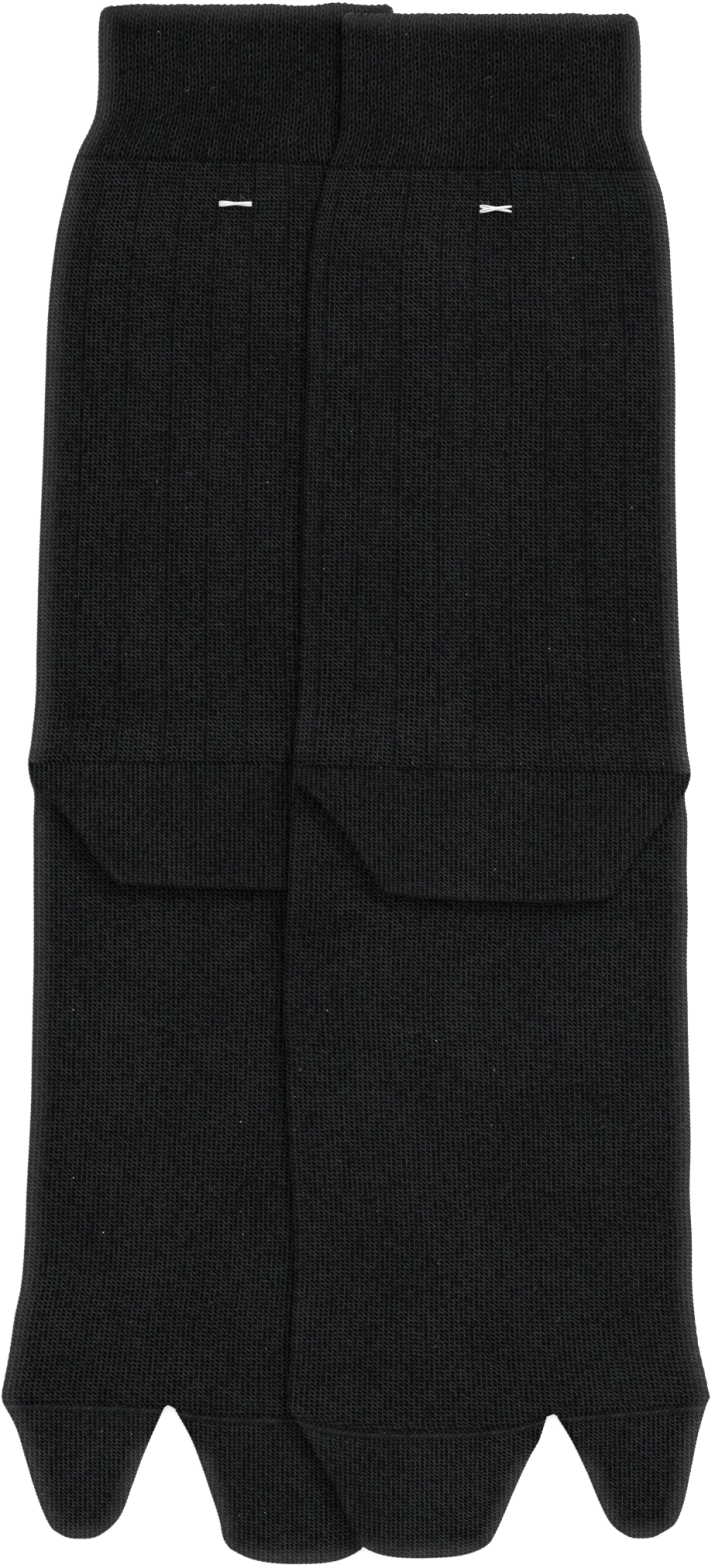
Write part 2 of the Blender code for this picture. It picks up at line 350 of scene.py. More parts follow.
class Knit:
    """How one piece's stitches lie: gauge, rib lines, what its edges and seams do, and how strong
    the painted sheen along its folds is.
    """

    def __init__(self, gauge, wales=None, ribs=(), sheen_levels=(1.0, 1.0, 0.0), seams=(), notch=None,
                 scallop=0.0, hump=0.0, sway=0.0):
        self.wale, self.course = gauge
        self.wales = wales
        self.ribs = ribs
        self.sheen_levels = sheen_levels  # how strong the painted sheen is at the left fold, the right fold and the tip
        self.seams = seams  # functions of x giving the height of each seam
        self.notch = notch  # (side, height): where the painted sheen of an inner edge starts
        self.scallop = scallop
        self.hump = hump
        self.sway = sway
        count = wales or PLAIN_WALES
        self.knots = [(0.0, 0.0, 0.0)]
        for number, share in enumerate(ribs, 1):
            self.knots.append((share, math.floor(share * count) + 0.5, float(number)))
        self.knots.append((1.0, float(count), len(ribs) + 1.0))
        if ribs:
            first, last = self.knots[1], self.knots[-2]
            step = (last[0] - first[0]) / (len(ribs) - 1)
            self.knots[0] = (0.0, 0.0, 1 - first[0] / step)
            self.knots[-1] = (1.0, float(count), len(ribs) + (1 - last[0]) / step)

    def stitch(self, x, share):
        """(wale, rib) at a share of the width."""
        if not self.wales:
            return x / self.wale, 0.5
        for low, high in zip(self.knots, self.knots[1:]):
            if share <= high[0]:
                t = (share - low[0]) / (high[0] - low[0])
                return tuple(p + (q - p) * t for p, q in zip(low[1:], high[1:]))
        return self.knots[-1][1:]

    # Painted sheen: how much paler a point is painted, fading in from each fold and the tip.
    def sheen_mask(self, left, right, end, y):
        fades = [max(0.0, 1 - d / SHEEN_REACH) for d in (left, right, end)]
        sheen_levels = list(self.sheen_levels)
        if self.notch:
            side, height = self.notch
            sheen_levels[side] *= ease((height - y) / NOTCH_FADE)
        return max(f * r for f, r in zip(fades, sheen_levels))


def knit_shell(name, rows, base, knit, relief, halves=None, tip=False, spacing=0.8,
               end=None, end_rows=0):
    """A flat knitted tube as one shell through rows of (left x, left y, right x, right y,
    sag), with its stitches laid out on a UV map. Its last rows may bend to an end line."""
    halves = halves or [FLAT / 2] * len(rows)
    widest = max(r[2] - r[0] for r in rows)
    over = across_stops(widest, FLAT / 2, spacing)
    below = across_stops(widest, FLAT / 2, UNDER_SPACING)
    ring = [(d, lift, 1) for d, lift in over]
    ring += [(widest - d, lift, -1) for d, lift in below[1:]]
    columns = len(ring) - 1
    sections = [(row, half, 1.0) for row, half in zip(rows, halves)]
    if tip:
        sections.pop()
        for k in range(1, TIP_STEPS + 1):
            angle = math.pi / 2 * (1 - k / TIP_STEPS)
            row = [a + (b - a) * math.cos(angle) for a, b in zip(rows[-2], rows[-1])]
            sections.append((row, halves[-1], math.sin(angle)))
    run = [0.0]
    for (a, _, _), (b, _, _) in zip(sections, sections[1:]):
        run.append(run[-1] + math.dist(((a[0] + a[2]) / 2, (a[1] + a[3]) / 2 - a[4]),
                                       ((b[0] + b[2]) / 2, (b[1] + b[3]) / 2 - b[4])))
    last = len(sections) - 1
    mesh = bmesh.new()
    sheet = mesh.loops.layers.uv.new("knit")
    bmesh.ops.create_grid(mesh, x_segments=columns, y_segments=last, size=1.0, calc_uvs=True)
    sheen_mask_of = mesh.verts.layers.float.new("sheen_mask")
    rib_of = mesh.verts.layers.float.new("rib")
    seam_of = mesh.verts.layers.float.new("seam")
    place = {}
    for vertex in mesh.verts:
        i = round((vertex.co.x + 1) / 2 * columns)
        j = round((vertex.co.y + 1) / 2 * last)
        row, half, squash = sections[j]
        from_left, lift, side = ring[i]
        width = row[2] - row[0]
        keep = min(FLAT / 2, width * 0.3)
        from_right = widest - from_left
        if from_left < FLAT / 2:
            share = from_left / (FLAT / 2) * keep / width
        elif from_right < FLAT / 2:
            share = 1 - from_right / (FLAT / 2) * keep / width
        else:
            inner = (from_left - FLAT / 2) / (widest - FLAT)
            share = (keep + inner * (width - 2 * keep)) / width
        x, y = line_across(row, share)
        across, rib = knit.stitch(x, share)
        down = run[j] / knit.course
        bend = last - end_rows
        if end is not None and j > bend:
            start_y = line_across(sections[bend][0], share)[1]
            y = start_y + (end(x) - start_y) * (j - bend) / end_rows
            down = run[bend] / knit.course + (start_y - y) / knit.course
        # small stitch bumps along the folds and the tip
        bump = (1 if j % 2 else -1) + ripple(j * 3.7, side * 9.1, 1.0, 4.0)
        x += FOLD_BUMP * bump * (1 - lift) * (-1 if share < 0.5 else 1)
        z = base(x, y) + half + lift * half * squash * side
        if knit.scallop and (tip or j < SCALLOP_ROWS):
            fade = (1 - squash) if tip else (1 - j / SCALLOP_ROWS)
            y += knit.scallop * fade * math.cos(math.pi * across * (2 if tip else 1))
        y += knit.sway * ripple(x, 0.0, 9.0, 31.0) * max(0.0, 1 - j / SWAY_ROWS)
        seam = min([abs(y - line(x)) for line in knit.seams] or [SEAM_FAR])
        if side > 0:
            near = math.exp(-((seam / SEAM_REACH) ** 2))
            shape = relief(x, y, rib) * (1 - near) - SEAM_DEPTH * near
            shape += knit.hump * math.exp(-(((seam - HUMP_AT) / HUMP_REACH) ** 2))
            z += shape * lift * squash
        vertex.co = Vector((x, y, z))
        edge_row = rows[-1] if tip else rows[0]
        from_end = abs(y - line_across(edge_row, share)[1])
        # painted sheen: how pale this point is painted near the folds and the end
        vertex[sheen_mask_of] = knit.sheen_mask(share * width, (1 - share) * width, from_end, y)
        vertex[rib_of] = rib
        vertex[seam_of] = seam
        place[vertex.index] = (across * side, down)
    for face in mesh.faces:
        for loop in face.loops:
            loop[sheet].uv = place[loop.vert.index]
    bmesh.ops.remove_doubles(mesh, verts=mesh.verts[:], dist=1e-4)
    for vertex in mesh.verts:
        vertex.co = (vertex.co + SHIFT) * MM
    bmesh.ops.recalc_face_normals(mesh, faces=mesh.faces[:])
    for face in mesh.faces:
        face.smooth = True
    data = bpy.data.meshes.new(name)
    mesh.to_mesh(data)
    mesh.free()
    piece = bpy.data.objects.new(name, data)
    bpy.context.scene.collection.objects.link(piece)
    return piece


def body_rows(body, top, bottom, step):
    """Rows of a sock's body between two heights, read from its smooth outline."""
    curve = Course(body)
    count = max(2, round((top - bottom) / step))
    rows = []
    for k in range(count + 1):
        y = top + (bottom - top) * k / count
        left, right, tilt = curve.read(y)
        rows.append((left, y + tilt / 2, right, y - tilt / 2, 0.0))
    return rows


def pocket_rows(table, step):
    """Rows of a pocket read from its smooth outline; the last two stay as they are."""
    at = [0.0]
    for a, b in zip(table, table[1:]):
        at.append(at[-1] + math.dist(a[:2], b[:2]) + math.dist(a[2:4], b[2:4]))
    curve = Course([(t,) + tuple(row) for t, row in zip(at, table)])
    count = max(4, round(at[-2] / 2 / step))
    rows = [tuple(curve.read(at[-2] * k / count)) for k in range(count + 1)]
    return rows + [table[-1]]


# ---------------------------------------------------------------- relief of the cloth
def ripple(x, y, size, seed):
    return noise.noise(Vector((x / size, y / size, seed)))


def plain_relief(seed):
    """Long low waves of plain cloth, as a function of the place and the rib number."""

    def relief(x, y, rib):
        return 0.20 * ripple(x, y, 34.0, seed) + 0.08 * ripple(x, y, 11.0, seed + 5)

    return relief


def rib_relief(seed):
    """The same with a soft groove along each rib line."""

    def relief(x, y, rib):
        off = abs(rib - round(rib)) * 8.0
        groove = math.exp(-((off / 0.55) ** 2))
        soft = 0.18 * ripple(x, y, 30.0, seed) + 0.08 * ripple(x * 2.2, y, 12.0, seed + 3)
        return soft + 0.06 - 0.12 * groove

    return relief


# ---------------------------------------------------------------- materials
def tree_of(material):
    material.use_nodes = True
    return material.node_tree


class Board:
    """Short ways to lay nodes in one tree."""

    def __init__(self, tree):
        self.tree = tree
        self.count = 0

    def add(self, kind, **settings):
        node = self.tree.nodes.new(kind)
        node.location = (180 * (self.count % 12), -220 * (self.count // 12))
        self.count += 1
        for key, value in settings.items():
            setattr(node, key, value)
        return node

    def feed(self, socket, value):
        if isinstance(value, bpy.types.NodeSocket):
            self.tree.links.new(value, socket)
        else:
            socket.default_value = value

    def math(self, operation, *values, clamp=False):
        node = self.add("ShaderNodeMath", operation=operation, use_clamp=clamp)
        for socket, value in zip(node.inputs, values):
            self.feed(socket, value)
        return node.outputs[0]

    def step(self, value, low, high, out_low=0.0, out_high=1.0):
        node = self.add("ShaderNodeMapRange", interpolation_type="SMOOTHSTEP")
        for socket, item in zip(node.inputs, (value, low, high, out_low, out_high)):
            self.feed(socket, item)
        return node.outputs[0]

    def split(self, vector):
        node = self.add("ShaderNodeSeparateXYZ")
        self.feed(node.inputs[0], vector)
        return node.outputs

    def join(self, x, y, z=0.0):
        node = self.add("ShaderNodeCombineXYZ")
        for socket, value in zip(node.inputs, (x, y, z)):
            self.feed(socket, value)
        return node.outputs[0]

    def noise(self, vector, scale, detail=2.0, output="Fac"):
        node = self.add("ShaderNodeTexNoise", noise_dimensions="3D")
        self.feed(node.inputs["Vector"], vector)
        node.inputs["Scale"].default_value = scale
        node.inputs["Detail"].default_value = detail
        return node.outputs[output]

    def mix(self, factor, a, b):
        node = self.add("ShaderNodeMix", data_type="RGBA")
        self.feed(node.inputs["Factor"], factor)
        self.feed(node.inputs["A"], a)
        self.feed(node.inputs["B"], b)
        return node.outputs["Result"]


def group(name, inputs, outputs):
    tree = bpy.data.node_groups.new(name, "ShaderNodeTree")
    for label, kind, value in inputs:
        socket = tree.interface.new_socket(label, in_out="INPUT", socket_type=kind)
        if value is not None:
            socket.default_value = value
    for label, kind in outputs:
        tree.interface.new_socket(label, in_out="OUTPUT", socket_type=kind)
    board = Board(tree)
    return board, board.add("NodeGroupInput").outputs, board.add("NodeGroupOutput").inputs


SPOT_CORE, SPOT_EDGE = 0.35, 1.5  # where an oval's soft edge starts and ends


def stitch_spot(board, across, down, angle, long, wide):
    """A leaning oval, 1 inside and 0 outside, in millimetres from its middle; angle from
    level, clockwise."""
    c, s = math.cos(math.radians(angle)), math.sin(math.radians(angle))
    along = board.math("MULTIPLY_ADD", across, c, board.math("MULTIPLY", down, s))
    beside = board.math("MULTIPLY_ADD", down, c, board.math("MULTIPLY", across, -s))
    far = board.math("ADD", board.math("POWER", board.math("DIVIDE", along, long), 2.0),
                     board.math("POWER", board.math("DIVIDE", beside, wide), 2.0))
    return board.step(far, SPOT_CORE, SPOT_EDGE, 1.0, 0.0)


def chance(board, *place):
    """A fixed random value for each cell."""
    node = board.add("ShaderNodeTexWhiteNoise", noise_dimensions="3D")
    board.feed(node.inputs["Vector"], board.join(*place))
    return node.outputs["Value"]


def wander(board, wale, course, across, down, seed):
    """A slow sway of up to about half, to add to a wale or course number."""
    where = board.join(board.math("MULTIPLY", wale, across),
                       board.math("MULTIPLY", course, down), seed)
    return board.math("SUBTRACT", board.noise(where, 1.0, 2.0), 0.5)


def jersey_stitches():
    """Plain knit: one leg of each wale is a fine upright line, the other a run of small
    leaning loops with dark gaps between. A purl wale lies flat and dim on each rib line."""
    board, given, put = group(
        "jersey stitches",
        [
            ("Stitch", "NodeSocketVector", None),
            ("Rib", "NodeSocketFloat", 0.5),
            ("Rib depth", "NodeSocketFloat", 0.0),
            ("Wale width", "NodeSocketFloat", 1.13),
            ("Course height", "NodeSocketFloat", 1.0),
        ],
        [("Yarn", "NodeSocketFloat")],
    )
    wale, course, _ = board.split(given["Stitch"])
    wale = board.math("MULTIPLY_ADD", wander(board, wale, course, 0.21, 0.05, 0.0), 0.30, wale)
    course = board.math("MULTIPLY_ADD", wander(board, wale, course, 0.05, 0.05, 7.0), 1.2, course)
    number = board.math("FLOOR", wale)
    within = board.math("FRACT", wale)
    down = board.math("MULTIPLY_ADD", chance(board, number, 0.0, 3.0), 0.24, course)
    row = board.math("FLOOR", down)
    luck = chance(board, number, row, 1.0)
    luck2 = chance(board, number, row, 5.0)
    x = board.math("MULTIPLY", board.math("SUBTRACT", within, 0.60), given["Wale width"])
    x = board.math("MULTIPLY_ADD", board.math("SUBTRACT", luck2, 0.5), 0.18, x)
    y = board.math("MULTIPLY", board.math("SUBTRACT", board.math("FRACT", down), 0.5),
                   given["Course height"])
    gap = stitch_spot(board, x, y, 51, 0.50, 0.26)
    gap = board.math("MULTIPLY", gap, board.math("MULTIPLY_ADD", luck, 0.60, 0.70))
    half = board.math("ADD", down, 0.5)
    y2 = board.math("MULTIPLY", board.math("SUBTRACT", board.math("FRACT", half), 0.5),
                    given["Course height"])
    luck3 = chance(board, number, board.math("FLOOR", half), 9.0)
    loop = board.math("MULTIPLY", stitch_spot(board, x, y2, 51, 0.50, 0.21),
                      board.math("MULTIPLY_ADD", luck3, 0.58, 0.14))
    edge = board.math("ABSOLUTE", board.math("SUBTRACT", board.math("FRACT",
                      board.math("ADD", wale, 0.38)), 0.5))
    line = board.step(edge, 0.03, 0.17, 1.0, 0.0)
    pulse = chance(board, number, board.math("FLOOR", board.math("MULTIPLY", down, 2.0)), 2.0)
    line = board.math("MULTIPLY", line, board.math("MULTIPLY_ADD", pulse, 0.50, 0.10))
    body = board.math("MULTIPLY_ADD", luck2, 0.14, 0.36)
    yarn = board.math("ADD", board.math("ADD", body, loop), line)
    keep = board.math("SUBTRACT", 1.0, gap)
    yarn = board.math("MULTIPLY", yarn, board.math("MAXIMUM", keep, 0.0))
    off = board.math("ABSOLUTE", board.math("SUBTRACT", given["Rib"],
                     board.math("ROUND", given["Rib"])))
    fade = board.math("MULTIPLY_ADD", wander(board, wale, course, 0.4, 0.06, 11.0), 1.2, 0.95)
    purl = board.math("MULTIPLY", board.step(off, 0.022, 0.070, 1.0, 0.0),
                      board.math("MULTIPLY", given["Rib depth"], fade, clamp=True))
    flat = board.math("MULTIPLY_ADD", luck3, 0.14, 0.24)
    node = board.add("ShaderNodeMix", data_type="FLOAT")
    board.feed(node.inputs["Factor"], purl)
    board.feed(node.inputs["A"], yarn)
    board.feed(node.inputs["B"], flat)
    board.feed(put["Yarn"], node.outputs["Result"])
    return board.tree


def rib_stitches():
    """Open one-by-one rib: pale cords run down each side of a column of small holes and
    nearly meet above each hole, with a fine groove between the columns."""
    wide, high = 2 * GAUGE["cuff"][0], GAUGE["cuff"][1]  # one column of holes, one course
    board, given, put = group(
        "rib stitches",
        [("Stitch", "NodeSocketVector", None)],
        [("Yarn", "NodeSocketFloat")],
    )
    wale, course, _ = board.split(given["Stitch"])
    rib = board.math("MULTIPLY", wale, 0.5)
    rib = board.math("MULTIPLY_ADD", wander(board, wale, course, 0.35, 0.30, 0.0), 0.42, rib)
    number = board.math("FLOOR", rib)
    course = board.math("MULTIPLY_ADD", wander(board, wale, course, 0.10, 0.12, 3.0), 1.5, course)
    course = board.math("MULTIPLY_ADD", chance(board, number, 0.0, 4.0), 0.6, course)
    row = board.math("FLOOR", course)
    luck = chance(board, number, row, 1.0)
    x = board.math("MULTIPLY", board.math("SUBTRACT", board.math("FRACT", rib), 0.5), wide)
    x = board.math("MULTIPLY_ADD", board.math("SUBTRACT", chance(board, number, row, 6.0), 0.5),
                   0.16, x)
    y = board.math("MULTIPLY", board.math("SUBTRACT", board.math("FRACT", course), 0.5), high)
    hole = board.math("MULTIPLY", stitch_spot(board, x, y, 90, 0.48, 0.30),
                      board.math("MULTIPLY_ADD", luck, 0.50, 0.62))
    off = board.math("ABSOLUTE", x)
    swing = board.math("MULTIPLY_ADD", board.math("COSINE",
                       board.math("MULTIPLY", y, 2 * math.pi / high)), 0.10, 0.41)
    cord = board.step(board.math("ABSOLUTE", board.math("SUBTRACT", off, swing)),
                      0.02, 0.19, 1.0, 0.0)
    cap = board.math("ADD", y, 0.42)
    cap = board.math("SUBTRACT", cap, board.math("MULTIPLY", off, 0.9))
    cap = board.math("MULTIPLY", board.step(board.math("ABSOLUTE", cap), 0.04, 0.20, 1.0, 0.0),
                     board.step(off, 0.34, 0.48, 1.0, 0.0))
    pale = board.math("MAXIMUM", board.math("MULTIPLY", cord, 0.9), cap)
    pale = board.math("MULTIPLY", pale, board.math("MULTIPLY_ADD", chance(board, number,
                      board.math("FLOOR", board.math("MULTIPLY", course, 2.0)),
                      board.math("SIGN", x)), 0.60, 0.06))
    yarn = board.math("ADD", board.math("MULTIPLY_ADD", luck, 0.16, 0.36), pale)
    keep = board.math("SUBTRACT", 1.0, hole)
    yarn = board.math("MULTIPLY", yarn, board.math("MAXIMUM", keep, 0.0))
    groove = board.math("MULTIPLY", board.step(off, 0.66, 0.82), board.math("MULTIPLY_ADD",
                        luck, 0.40, 0.35))
    yarn = board.math("MULTIPLY", yarn, board.math("SUBTRACT", 1.0, groove))
    board.feed(put["Yarn"], yarn)
    return board.tree


def seam_stitches():
    """What a seam does to the knit: painted shade in the groove on the line itself, and on a
    linked seam a narrow chain of leaning stitches beside it."""
    board, given, put = group(
        "seam stitches",
        [
            ("Yarn", "NodeSocketFloat", 0.5),
            ("Stitch", "NodeSocketVector", None),
            ("Seam", "NodeSocketFloat", 9.0),
            ("Seam shade", "NodeSocketFloat", 0.5),
            ("Chain", "NodeSocketFloat", 0.0),
        ],
        [("Yarn", "NodeSocketFloat")],
    )
    wale, _, _ = board.split(given["Stitch"])
    number = board.math("FLOOR", wale)
    x = board.math("MULTIPLY", board.math("SUBTRACT", board.math("FRACT", wale), 0.5),
                   GAUGE["toe"][0])
    y = board.math("SUBTRACT", given["Seam"], 0.95)
    stitch = stitch_spot(board, x, y, -38, 0.62, 0.30)
    stitch = board.math("MULTIPLY", stitch, board.math("MULTIPLY_ADD",
                        chance(board, number, 2.0, 0.0), 0.40, 0.10))
    chain = board.math("ADD", stitch, 0.46)
    band = board.math("MULTIPLY", board.step(given["Seam"], 0.15, 0.6),
                      board.step(given["Seam"], 1.5, 2.2, 1.0, 0.0))
    node = board.add("ShaderNodeMix", data_type="FLOAT")
    board.feed(node.inputs["Factor"], board.math("MULTIPLY", band, given["Chain"]))
    board.feed(node.inputs["A"], given["Yarn"])
    board.feed(node.inputs["B"], chain)
    ragged = board.math("MULTIPLY_ADD", chance(board, number, 7.0, 0.0), 0.30,
                        board.math("SUBTRACT", given["Seam"], 0.15))
    # painted shade: the knit is darkened along the seam's groove, with a ragged edge
    groove = board.math("MULTIPLY", board.step(ragged, 0.15, 0.95, 1.0, 0.0),
                        board.math("MULTIPLY", given["Seam shade"], board.math("MULTIPLY_ADD",
                                   chance(board, number, 5.0, 0.0), 1.5, 0.4)))
    yarn = board.math("MULTIPLY", node.outputs["Result"], board.math("SUBTRACT", 1.0, groove))
    board.feed(put["Yarn"], yarn)
    return board.tree


def cloth_look_and_sheen():
    """What lies over any knit: uneven dye, fuzz, a painted sheen along each fold, and specks.
    Noise scales are in cells a metre."""
    board, given, put = group(
        "cloth look and painted sheen",
        [
            ("Yarn", "NodeSocketFloat", 0.5),
            ("Sheen mask", "NodeSocketFloat", 0.0),
            ("Dark", "NodeSocketColor", (0.0003, 0.0003, 0.0003, 1)),
            ("Light", "NodeSocketColor", (0.05, 0.05, 0.05, 1)),
            ("Sheen color", "NodeSocketColor", (0.04, 0.04, 0.04, 1)),
        ],
        [("Color", "NodeSocketColor")],
    )
    where = board.add("ShaderNodeTexCoord").outputs["Object"]
    blotch = board.noise(where, 45.0, 3.0)
    fine = board.noise(where, 2200.0, 2.0)
    grain = board.math("MULTIPLY", board.step(blotch, 0.3, 0.7, 0.94, 1.06),
                       board.step(fine, 0.25, 0.75, 0.78, 1.22))
    level = board.math("POWER", board.math("MULTIPLY", given["Yarn"], grain), 2.0)
    color = board.mix(level, given["Dark"], given["Light"])
    tint = board.noise(where, 170.0, 3.0, "Color")
    lift = board.add("ShaderNodeVectorMath", operation="MULTIPLY_ADD")
    board.feed(lift.inputs[0], tint)
    lift.inputs[1].default_value = (1.7, 1.6, 1.8)
    lift.inputs[2].default_value = (0.15, 0.20, 0.12)
    hue = board.add("ShaderNodeMix", data_type="RGBA", blend_type="MULTIPLY")
    hue.inputs["Factor"].default_value = 0.32
    board.feed(hue.inputs["A"], color)
    board.feed(hue.inputs["B"], lift.outputs[0])
    # painted sheen: a paler colour added along each fold, stronger on the yarn than in the gaps
    sheen_mask = board.math("POWER", given["Sheen mask"], 1.8)
    sheen_mask = board.math("MULTIPLY", sheen_mask, board.math("MULTIPLY_ADD", given["Yarn"], 0.9, 0.55))
    glow = board.add("ShaderNodeMix", data_type="RGBA", blend_type="ADD")
    board.feed(glow.inputs["Factor"], board.math("MINIMUM", sheen_mask, 1.0))
    board.feed(glow.inputs["A"], hue.outputs["Result"])
    board.feed(glow.inputs["B"], given["Sheen color"])
    dots = board.add("ShaderNodeTexVoronoi", voronoi_dimensions="2D", feature="F1")
    board.feed(dots.inputs["Vector"], where)
    dots.inputs["Scale"].default_value = 150.0
    pick, size, shade = board.split(dots.outputs["Color"])
    reach = board.math("MULTIPLY_ADD", board.math("POWER", size, 4.0), 0.020, 0.008)
    near = board.step(board.math("SUBTRACT", dots.outputs["Distance"], reach), -0.004, 0.006,
                      1.0, 0.0)
    speck = board.math("MULTIPLY", near, board.step(pick, 0.70, 0.72))
    speck = board.math("MULTIPLY", speck, board.math("MULTIPLY_ADD",
                       board.math("POWER", shade, 2.0), 0.8, 0.08))
    board.feed(put["Color"], board.mix(speck, glow.outputs["Result"], (0.45, 0.45, 0.44, 1)))
    return board.tree


JERSEY = jersey_stitches()
RIBS = rib_stitches()
SEAMS = seam_stitches()
CLOTH_AND_SHEEN = cloth_look_and_sheen()

DARK = (0.0003, 0.0003, 0.0004)  # between the stitches
LIGHT = (0.0262, 0.0270, 0.0277)  # the top of a stitch, before its zone's own factor
SHEEN_PAINT = (0.036, 0.036, 0.035)  # painted sheen added along each fold
STITCH_DEPTH = 0.1 * MM


def knit_material(name, stitches, settings, groove, chain=0.0, light=1.0):
    material = bpy.data.materials.new(name)
    board = Board(tree_of(material))
    shader = board.tree.nodes["Principled BSDF"]
    shader.inputs["Roughness"].default_value = 0.85
    shader.inputs["Specular IOR Level"].default_value = 0.03
    shader.inputs["Sheen Weight"].default_value = 0.03
    shader.inputs["Sheen Roughness"].default_value = 0.3
    sheet = board.add("ShaderNodeUVMap", uv_map="knit").outputs["UV"]
    marks = {}
    for label in ("sheen_mask", "rib", "seam"):
        marks[label] = board.add("ShaderNodeAttribute", attribute_name=label).outputs["Fac"]
    knit = board.add("ShaderNodeGroup", node_tree=stitches)
    board.feed(knit.inputs["Stitch"], sheet)
    if "Rib" in knit.inputs:
        board.feed(knit.inputs["Rib"], marks["rib"])
    for label, value in settings.items():
        knit.inputs[label].default_value = value
    seam = board.add("ShaderNodeGroup", node_tree=SEAMS)
    board.feed(seam.inputs["Yarn"], knit.outputs["Yarn"])
    board.feed(seam.inputs["Stitch"], sheet)
    board.feed(seam.inputs["Seam"], marks["seam"])
    # how dark the painted shade in a seam's groove is
    seam.inputs["Seam shade"].default_value = groove
    seam.inputs["Chain"].default_value = chain
    # uneven dye, fuzz, specks and the painted sheen along the folds
    cloth_and_sheen = board.add("ShaderNodeGroup", node_tree=CLOTH_AND_SHEEN)
    board.feed(cloth_and_sheen.inputs["Yarn"], seam.outputs["Yarn"])
    board.feed(cloth_and_sheen.inputs["Sheen mask"], marks["sheen_mask"])
    for label, value in (("Dark", DARK), ("Light", Vector(LIGHT) * light), ("Sheen color", SHEEN_PAINT)):
        cloth_and_sheen.inputs[label].default_value = (*value, 1)
    bump = board.add("ShaderNodeBump")
    bump.inputs["Strength"].default_value = 0.5
    bump.inputs["Distance"].default_value = STITCH_DEPTH
    board.feed(bump.inputs["Height"], seam.outputs["Yarn"])
    board.feed(shader.inputs["Normal"], bump.outputs["Normal"])
    board.feed(shader.inputs["Base Color"], cloth_and_sheen.outputs["Color"])
    return material


def jersey_material(name, kind, groove, chain=0.0, rib=0.0, light=1.0):
    wale, course = GAUGE[kind]
    settings = {"Wale width": wale, "Course height": course, "Rib depth": rib}
    return knit_material(name, JERSEY, settings, groove, chain, light)


# Each knit's groove number sets how dark the painted shade in its seams is.
MATERIALS = {
    "cuff": knit_material("cuff knit", RIBS, {}, 0.12, light=1.04),
    "leg": jersey_material("leg knit", "leg", 0.14, rib=0.52, light=1.08),
    "heel": jersey_material("heel knit", "heel", 0.14, light=1.28),
    "sole": jersey_material("sole knit", "sole", 0.20, light=1.22),
    "toe": jersey_material("toe knit", "toe", 0.12, chain=0.75, light=1.50),
}


# ---------------------------------------------------------------- the socks
ROW_STEP = {"cuff": 0.6, "body": 0.5, "heel": 0.42, "toe": 0.45}  # between a shell's rows
CUFF_SPACING, POCKET_SPACING = 0.45, 0.58  # between points across
CUFF_WALES = 83
CUFF_WALL = 0.8  # what the open cuff's edge shows
HEEL_OPENING = 11.0  # how far above the heel line a leg starts to open
END_STEPS = 16  # rows that bend to the toe line


def finish_piece(piece, node, kind):
    """Give a shell its material, attach it to the root body, and hide the solid it replaces."""
    piece.data.materials.append(MATERIALS[kind])
    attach(piece, "root")
    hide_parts(node)


def across_line(body, height):
    """A seam square across a sock's body, as a function of x."""
    left, right, tilt = Course(body).read(height)
    return lambda x: height + tilt * (0.5 - (x - left) / (right - left))


def mouth_line(row):
    """A pocket's open end, as a function of x."""
    return lambda x: line_across(row, min(max((x - row[0]) / (row[2] - row[0]), 0.0), 1.0))[1]


